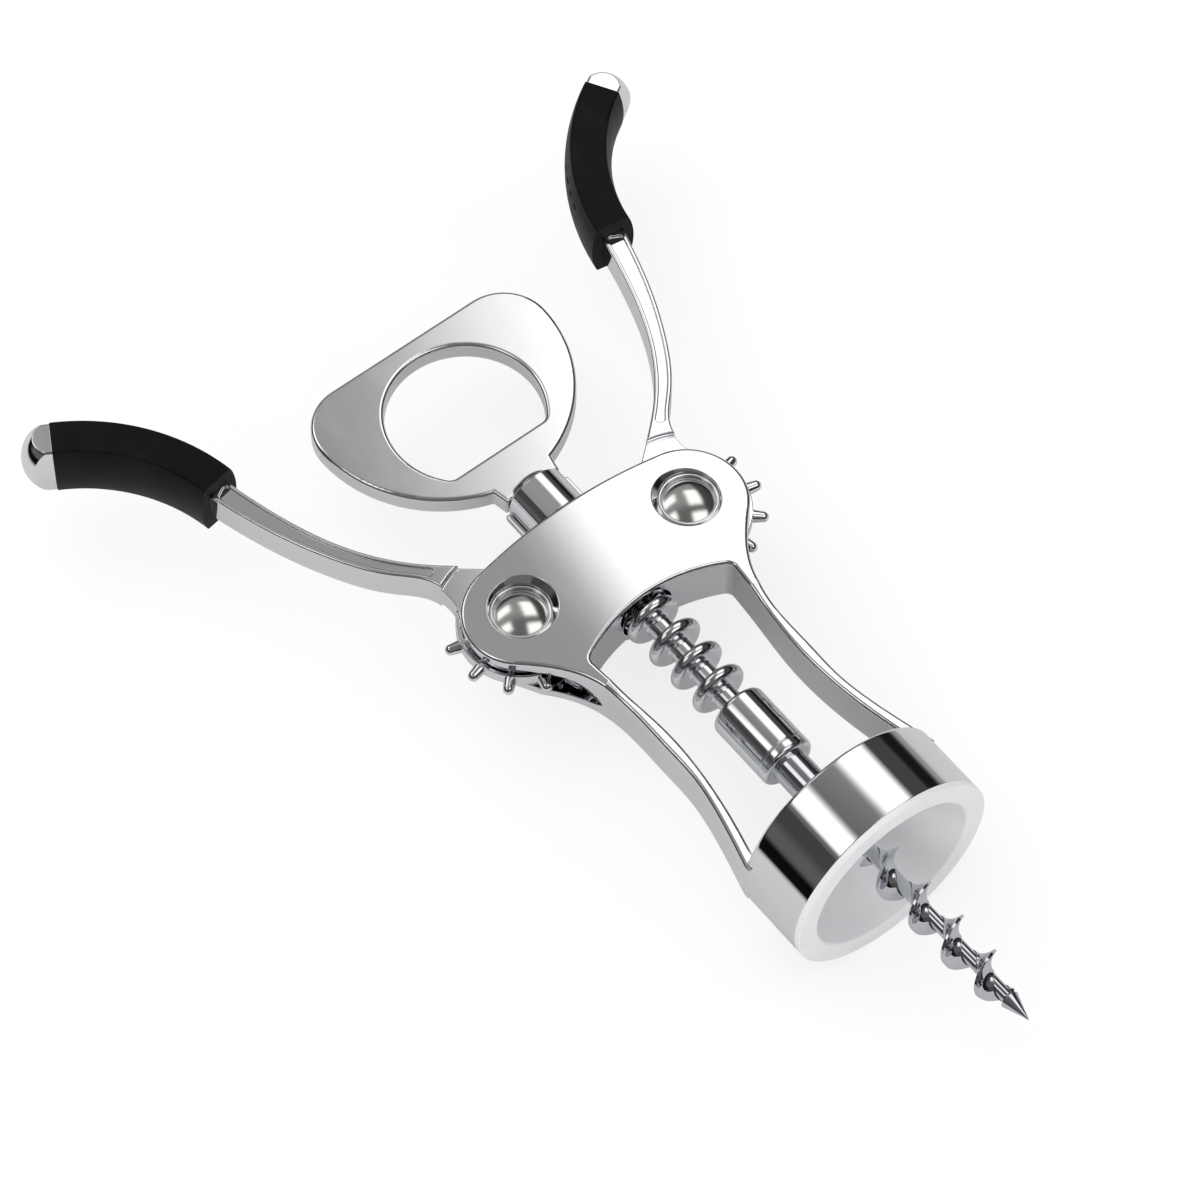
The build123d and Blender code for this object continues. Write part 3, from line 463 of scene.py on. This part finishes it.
# ---------------------------------------------------------------- nodes of the frame
@dataclass
class Finishes:
    """Every finish on the tool; each is built at its first use."""

    casting: Plating = Plating(
        "chrome_on_casting", gloss_loss=0.03, haze=0.025, ripple_um=1.0, satin_front=0.085
    )
    lever: Plating = Plating("chrome_on_lever", gloss_loss=0.045, ripple_um=1.6)
    plate: Plating = Plating("satin_chrome_plate", gloss_loss=0.13, haze=0.05, polish=Polish.PRESSED)
    spindle: Plating = Plating("chrome_on_spindle", gloss_loss=0.04, polish=Polish.TURNED, ripple_um=0.7)
    sleeve: Plating = Plating("chrome_on_sleeve", gloss_loss=0.05, polish=Polish.TURNED, ripple_um=0.6)
    button: Plating = Plating("nickel_button", tint=(0.70, 0.69, 0.675), gloss_loss=0.14, ripple_um=0.5)
    cup: Plating = Plating("chrome_on_cup", gloss_loss=0.04, ripple_um=0.5)
    cap: Plating = Plating("chrome_on_cap", tint=(0.83, 0.84, 0.86), gloss_loss=0.04, ripple_um=0.6)
    worm: Plating = Plating("plated_worm", tint=(0.60, 0.61, 0.65), gloss_loss=0.07, edge_mm=0.15)
    pin: Plating = Plating("spring_steel", tint=(0.50, 0.50, 0.52), gloss_loss=0.28, polish=Polish.TURNED)
    grip: SoftTouch = SoftTouch("soft_touch_black")
    liner: Moulding = Moulding("white_moulding")
    nylon: Moulding = Moulding("natural_nylon", (0.80, 0.78, 0.72), (0.72, 0.70, 0.64), 0.4)
    made: dict[str, bpy.types.Material] = field(default_factory=dict)

    def dress(self, node: str, finish: str) -> None:
        """Gives one carried-over node its finish.

        Args:
            node: The node's name.
            finish: The finish's name here.
        """
        if finish not in self.made:
            self.made[finish] = getattr(self, finish).build()
        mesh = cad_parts[node].data
        mesh.materials.clear()
        mesh.materials.append(self.made[finish])
        for polygon in mesh.polygons:
            polygon.material_index = 0
        LOG.info("%s: %s", node, self.made[finish].name)


@dataclass
class FrameDress:
    """The casting with its liner and pivots."""

    finishes: Finishes

    def build(self) -> None:
        """Dresses the nodes of the fixed body."""
        self.finishes.dress("frame", "casting")
        self.finishes.dress("bell_liner", "liner")
        for side in SIDES:
            self.finishes.dress(f"{side}_pivot_pin", "button")
            self.finishes.dress(f"{side}_pin_cup", "cup")
            self.finishes.dress(f"{side}_rear_pin_cap", "button")


@dataclass
class SpindleDress:
    """The spindle with its worm, pins, handle and ferrule."""

    finishes: Finishes

    def build(self) -> None:
        """Dresses the nodes of the spindle and of the sleeve round it."""
        self.finishes.dress("rack_spindle", "spindle")
        self.finishes.dress("worm", "worm")
        self.finishes.dress("opener_handle", "plate")
        self.finishes.dress("ferrule", "sleeve")
        self.finishes.dress("worm_pin", "pin")
        self.finishes.dress("handle_pin", "pin")


@dataclass
class LeverDress:
    """One geared lever with its grip."""

    side: str
    finishes: Finishes

    def build(self) -> None:
        """Dresses the lever's nodes."""
        self.finishes.dress(f"{self.side}_lever", "lever")
        self.finishes.dress(f"{self.side}_grip", "grip")
        self.finishes.dress(f"{self.side}_end_cap", "cap")
        self.finishes.dress(f"{self.side}_cap_stud", "pin")
        self.finishes.dress(f"{self.side}_lever_washers", "nylon")


# ---------------------------------------------------------------- studio
@dataclass(frozen=True)
class Panel:
    """One lit panel of the ceiling, in the ceiling's own turned coordinates, in millimetres."""

    left: float
    right: float
    low: float
    high: float


@dataclass(frozen=True)
class Band:
    """A strip of the dark room, by its angle about the worm's axis: 0 overhead, 90 at the tool's right.

    Attributes:
        start: Angle where it begins, in degrees.
        end: Angle where it ends.
        level: Its brightness.
        soft: Width of its soft edges, in degrees.
    """

    start: float
    end: float
    level: float
    soft: float


@dataclass(frozen=True)
class Lamp:
    """A soft round lamp that metal doesn't show.

    Attributes:
        name: Its name.
        power: Its power in watts.
        size: Its diameter.
        spot: Where it hangs.
        aim: What it looks at.
    """

    name: str
    power: float
    size: float
    spot: Triple
    aim: Triple = (0.0, 0.04, 0.0)

    def build(self) -> None:
        """Hangs the lamp."""
        data = bpy.data.lights.new(self.name, "AREA")
        data.shape = "DISK"
        data.size = self.size
        data.energy = self.power
        lamp = bpy.data.objects.new(self.name, data)
        place = Vector(self.spot)
        turn = (Vector(self.aim) - place).to_track_quat("-Z", "Y").to_matrix().to_4x4()
        lamp.matrix_world = Matrix.Translation(place) @ turn
        lamp.visible_glossy = False
        lamp.visible_camera = False
        bpy.context.scene.collection.objects.link(lamp)


@dataclass
class Studio:
    """A pale floor, a grey ceiling with four lit panels, dark walls, two soft lamps and the camera.

    Attributes:
        floor_z: Height of the floor, just under the bell.
        floor_size: Side of the floor.
        floor_level: The floor's colour to all but the metal.
        floor_to_metal: The floor's colour in the metal.
        floor_dark: The floor's colour in the metal at far left.
        floor_dark_x_mm: Where that dark part begins.
        floor_dark_soft_mm: Width of its soft edge.
        floor_glow: Share of plain white in what the camera sees of the floor.
        ceiling_z: Height of the ceiling.
        ceiling_size: Side of the ceiling.
        ceiling_turn: Turn of its panels, in radians.
        ceiling_across_mm: The ceiling's left and right edge, beyond which it is as dark as the walls.
        panels: The lit panels.
        panel_soft_mm: Width of their soft edges.
        panel_level: Their brightness.
        panel_tint: Their colour.
        gap_levels: Brightness between the panels, at the near and the far end.
        gap_along_mm: Where the near end's brightness stops and the far end's begins.
        wall_level: Brightness of the walls.
        bands: Strips of the walls that differ.
        end_span: How squarely one looks along the tool where the room's dark ends begin and are full.
        end_level: Brightness of those ends.
        day_level: Brightness of the even light on matt pieces.
        lamps: The lamps; the first gives the floor its shadow, the second lights the bell's mouth.
        camera_place: Where the camera stands.
        camera_right: The direction to its right.
        camera_down: The direction below it.
        camera_ahead: The direction in which it looks.
        camera_clip: From where to where it sees.
        lens_mm: Its focal length.
        sensor_mm: Width of its sensor.
    """

    floor_z: float = -0.0202
    floor_size: float = 6.0
    floor_level: float = 0.955
    floor_to_metal: float = 0.60
    floor_dark: float = 0.004
    floor_dark_x_mm: float = -135.0
    floor_dark_soft_mm: float = 60.0
    floor_glow: float = 0.72
    ceiling_z: float = 0.300
    ceiling_size: float = 1.3
    ceiling_turn: float = math.radians(-21.6)
    ceiling_across_mm: Span = (-400.0, 225.0)
    panels: tuple[Panel, ...] = (
        Panel(14.0, 190.0, 115.0, 400.0),
        Panel(-370.0, -118.0, 240.0, 430.0),
        Panel(14.0, 250.0, -130.0, 20.0),
        Panel(-335.0, -170.0, -10.0, 110.0),
    )
    panel_soft_mm: float = 66.0
    panel_level: float = 1.5
    panel_tint: Colour = (1.0, 0.995, 0.985)
    gap_levels: Span = (0.15, 0.34)
    gap_along_mm: Span = (40.0, 200.0)
    wall_level: float = 0.062
    bands: tuple[Band, ...] = (
        Band(-88.0, -70.0, 0.115, 14.0),
        Band(-106.0, -88.0, 0.004, 8.0),
        Band(40.0, 52.0, 0.030, 8.0),
        Band(66.0, 82.0, 0.010, 10.0),
        Band(84.0, 112.0, 0.34, 8.0),
    )
    end_span: Span = (0.50, 0.75)
    end_level: float = 0.012
    day_level: float = 0.86
    lamps: tuple[Lamp, ...] = (
        Lamp("studio_lamp", 3.6, 1.0, (-0.25, 0.45, 0.95)),
        Lamp("mouth_lamp", 1.3, 0.3, (-0.30, -0.62, 0.30)),
    )
    camera_place: Triple = (-0.322296, -0.323755, 0.818526)
    camera_right: Triple = (0.78267612, -0.62242135, 0.00312288)
    camera_down: Triple = (-0.52782574, -0.66636734, -0.52664463)
    camera_ahead: Triple = (0.32987585, 0.41054384, -0.85007981)
    camera_clip: Span = (0.05, 20.0)
    lens_mm: float = 170.21
    sensor_mm: float = 36.0

    def build(self) -> None:
        """Builds the whole studio."""
        self.add_floor()
        self.add_ceiling()
        self.add_world()
        for lamp in self.lamps:
            lamp.build()
        self.add_camera()

    def plane(self, name: str, size: float, z: float) -> bpy.types.Object:
        """A level square.

        Args:
            name: The object's name.
            size: Its side.
            z: Its height.

        Returns:
            The square.
        """
        bpy.ops.object.select_all(action="DESELECT")
        bpy.ops.mesh.primitive_plane_add(size=size, location=(0.0, 0.0, z))
        square = bpy.context.object
        square.name = name
        return square

    def add_floor(self) -> None:
        """The floor: near white to the eye with a soft shadow, greyer in the metal and dark at far left."""
        floor = self.plane("studio_floor", self.floor_size, self.floor_z)
        material, graph = new_material("studio_floor")
        across = graph.parts(graph.place())[0]
        path = graph.node("LightPath")
        reach = self.floor_dark_soft_mm / 2
        lit = graph.ramp_up(across, self.floor_dark_x_mm - reach, self.floor_dark_x_mm + reach)
        metal = graph.colour_mix(lit, grey(self.floor_dark), grey(self.floor_to_metal))
        colour = graph.colour_mix(graph.signal(path, "Is Glossy Ray"), grey(self.floor_level), metal)
        matt = graph.node("BsdfDiffuse", None, {"Color": colour})
        glow = graph.node("Emission", None, {"Color": WHITE})
        share = graph.signal(path, "Is Camera Ray") * self.floor_glow
        mixed = graph.node("MixShader", None, {0: share, 1: matt.outputs[0], 2: glow.outputs[0]})
        graph.node("OutputMaterial", None, {"Surface": mixed.outputs[0]})
        floor.data.materials.append(material)

    def add_ceiling(self) -> None:
        """The ceiling with its panels, which only reflections see."""
        ceiling = self.plane("studio_ceiling", self.ceiling_size, self.ceiling_z)
        ceiling.visible_camera = False
        ceiling.visible_diffuse = False
        ceiling.visible_shadow = False
        material, graph = new_material("studio_ceiling")
        x, y, _ = graph.parts(graph.place())
        across = x * math.cos(self.ceiling_turn) + y * math.sin(self.ceiling_turn)
        along = y * math.cos(self.ceiling_turn) - x * math.sin(self.ceiling_turn)
        near, far = self.gap_levels
        gap = near + graph.ramp_up(along, *self.gap_along_mm) * (far - near)
        inside = graph.window(across, *self.ceiling_across_mm, self.panel_soft_mm / 2)
        level = self.wall_level + inside * (gap - self.wall_level)
        for panel in self.panels:
            lit = graph.window(across, panel.left, panel.right, self.panel_soft_mm)
            lit = lit * graph.window(along, panel.low, panel.high, self.panel_soft_mm)
            level = level + lit * (self.panel_level - level)
        colour = graph.colour_mix(level / self.panel_level, BLACK, self.panel_tint)
        shader = graph.node("Emission", None, {"Color": colour, "Strength": self.panel_level})
        graph.node("OutputMaterial", None, {"Surface": shader.outputs[0]})
        ceiling.data.materials.append(material)

    def add_world(self) -> None:
        """White behind the tool, even daylight on matt pieces and a dark room in the metal."""
        world = bpy.data.worlds.new("studio_world")
        world.use_nodes = True
        bpy.context.scene.world = world
        graph = Graph(world.node_tree)
        x, y, z = graph.parts(graph.node("TexCoord").outputs["Generated"])
        angle = graph.maths("ARCTAN2", x, z) * math.degrees(1.0)
        level: Value = self.wall_level
        for band in self.bands:
            level = level + graph.window(angle, band.start, band.end, band.soft) * (band.level - level)
        ends = graph.ramp_up(graph.maths("ABSOLUTE", y), *self.end_span)
        level = level + ends * (self.end_level - level)
        path = graph.node("LightPath")
        room = graph.colour_mix(level, BLACK, WHITE)
        lit = graph.colour_mix(graph.signal(path, "Is Glossy Ray"), grey(self.day_level), room)
        seen = (graph.signal(path, name) for name in ("Is Camera Ray", "Is Transmission Ray"))
        colour = graph.colour_mix(graph.maths("MAXIMUM", *seen), lit, WHITE)
        background = graph.node("Background", None, {"Color": colour})
        graph.node("OutputWorld", None, {"Surface": background.outputs[0]})

    def add_camera(self) -> None:
        """The camera."""
        data = bpy.data.cameras.new("studio_camera")
        data.lens = self.lens_mm
        data.sensor_width = self.sensor_mm
        data.clip_start, data.clip_end = self.camera_clip
        camera = bpy.data.objects.new("studio_camera", data)
        axes = (Vector(self.camera_right), -Vector(self.camera_down), -Vector(self.camera_ahead))
        turn = Matrix(axes).transposed().to_4x4()
        camera.matrix_world = Matrix.Translation(Vector(self.camera_place)) @ turn
        bpy.context.scene.collection.objects.link(camera)
        bpy.context.scene.camera = camera


def main() -> None:
    """Builds the dressed tool and its studio, in order."""
    logging.basicConfig(level=logging.INFO, format="%(name)s: %(message)s")
    bpy.context.scene.view_settings.view_transform = "Standard"
    finishes = Finishes()
    Studio().build()
    FrameDress(finishes).build()
    SpindleDress(finishes).build()
    for side in SIDES:
        LeverDress(side, finishes).build()


if __name__ == "__main__":
    main()
